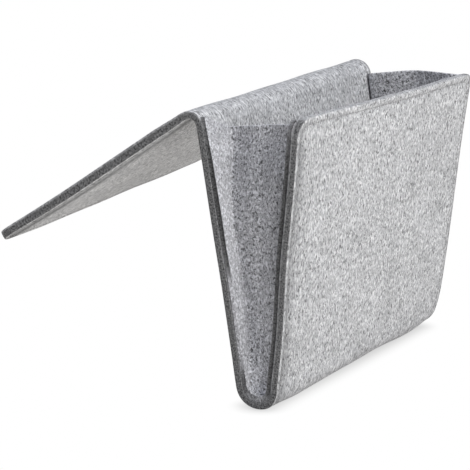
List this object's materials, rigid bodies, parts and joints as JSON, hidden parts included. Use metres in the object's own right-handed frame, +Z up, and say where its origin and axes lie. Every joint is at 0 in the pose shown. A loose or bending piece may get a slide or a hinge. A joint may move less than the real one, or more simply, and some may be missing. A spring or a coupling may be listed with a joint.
{
  "type": "bedside caddy",
  "caption": "Thick felt bedside caddy: a flap held under a mattress folds down into a back panel and an open, wedge-shaped pocket with folded side gussets.",
  "frame": {"origin": "middle of the flap's underside, where it lies on the bed base", "axes": "+X along the folds to the caddy's right, +Y towards the bed, +Z up"},
  "size_m": [0.323, 0.2909, 0.2434],
  "materials": {
    "sheet_felt": "thick needled felt, light heather grey, matt and fibrous",
    "gusset_felt": "the same heather grey felt, a little thinner",
    "thread": "grey sewing thread, satin"
  },
  "bodies": {
    "flap": {"flap": "sheet_felt", "flap_thread": "thread", "top_bend": "sheet_felt"},
    "pocket": {"back_panel": "sheet_felt", "left_side_thread": "thread", "right_side_thread": "thread", "bottom_bend": "sheet_felt", "left_gusset": "gusset_felt", "right_gusset": "gusset_felt"},
    "front": {"front_panel": "sheet_felt", "front_thread": "thread"}
  },
  "joints": [
    {"name": "flap_fold", "type": "hinge", "parent": "flap", "child": "pocket", "pos_m": [0, -0.09171, 0.04775], "axis": [1, 0, 0], "range_deg": [-112, 64], "deforming": ["top_bend"]},
    {"name": "front_swing", "type": "hinge", "parent": "pocket", "child": "front", "pos_m": [0, -0.1586, -0.16161], "axis": [1, 0, 0], "range_deg": [-14, 9], "deforming": ["bottom_bend", "left_gusset", "right_gusset", "left_side_thread", "right_side_thread"]}
  ]
}
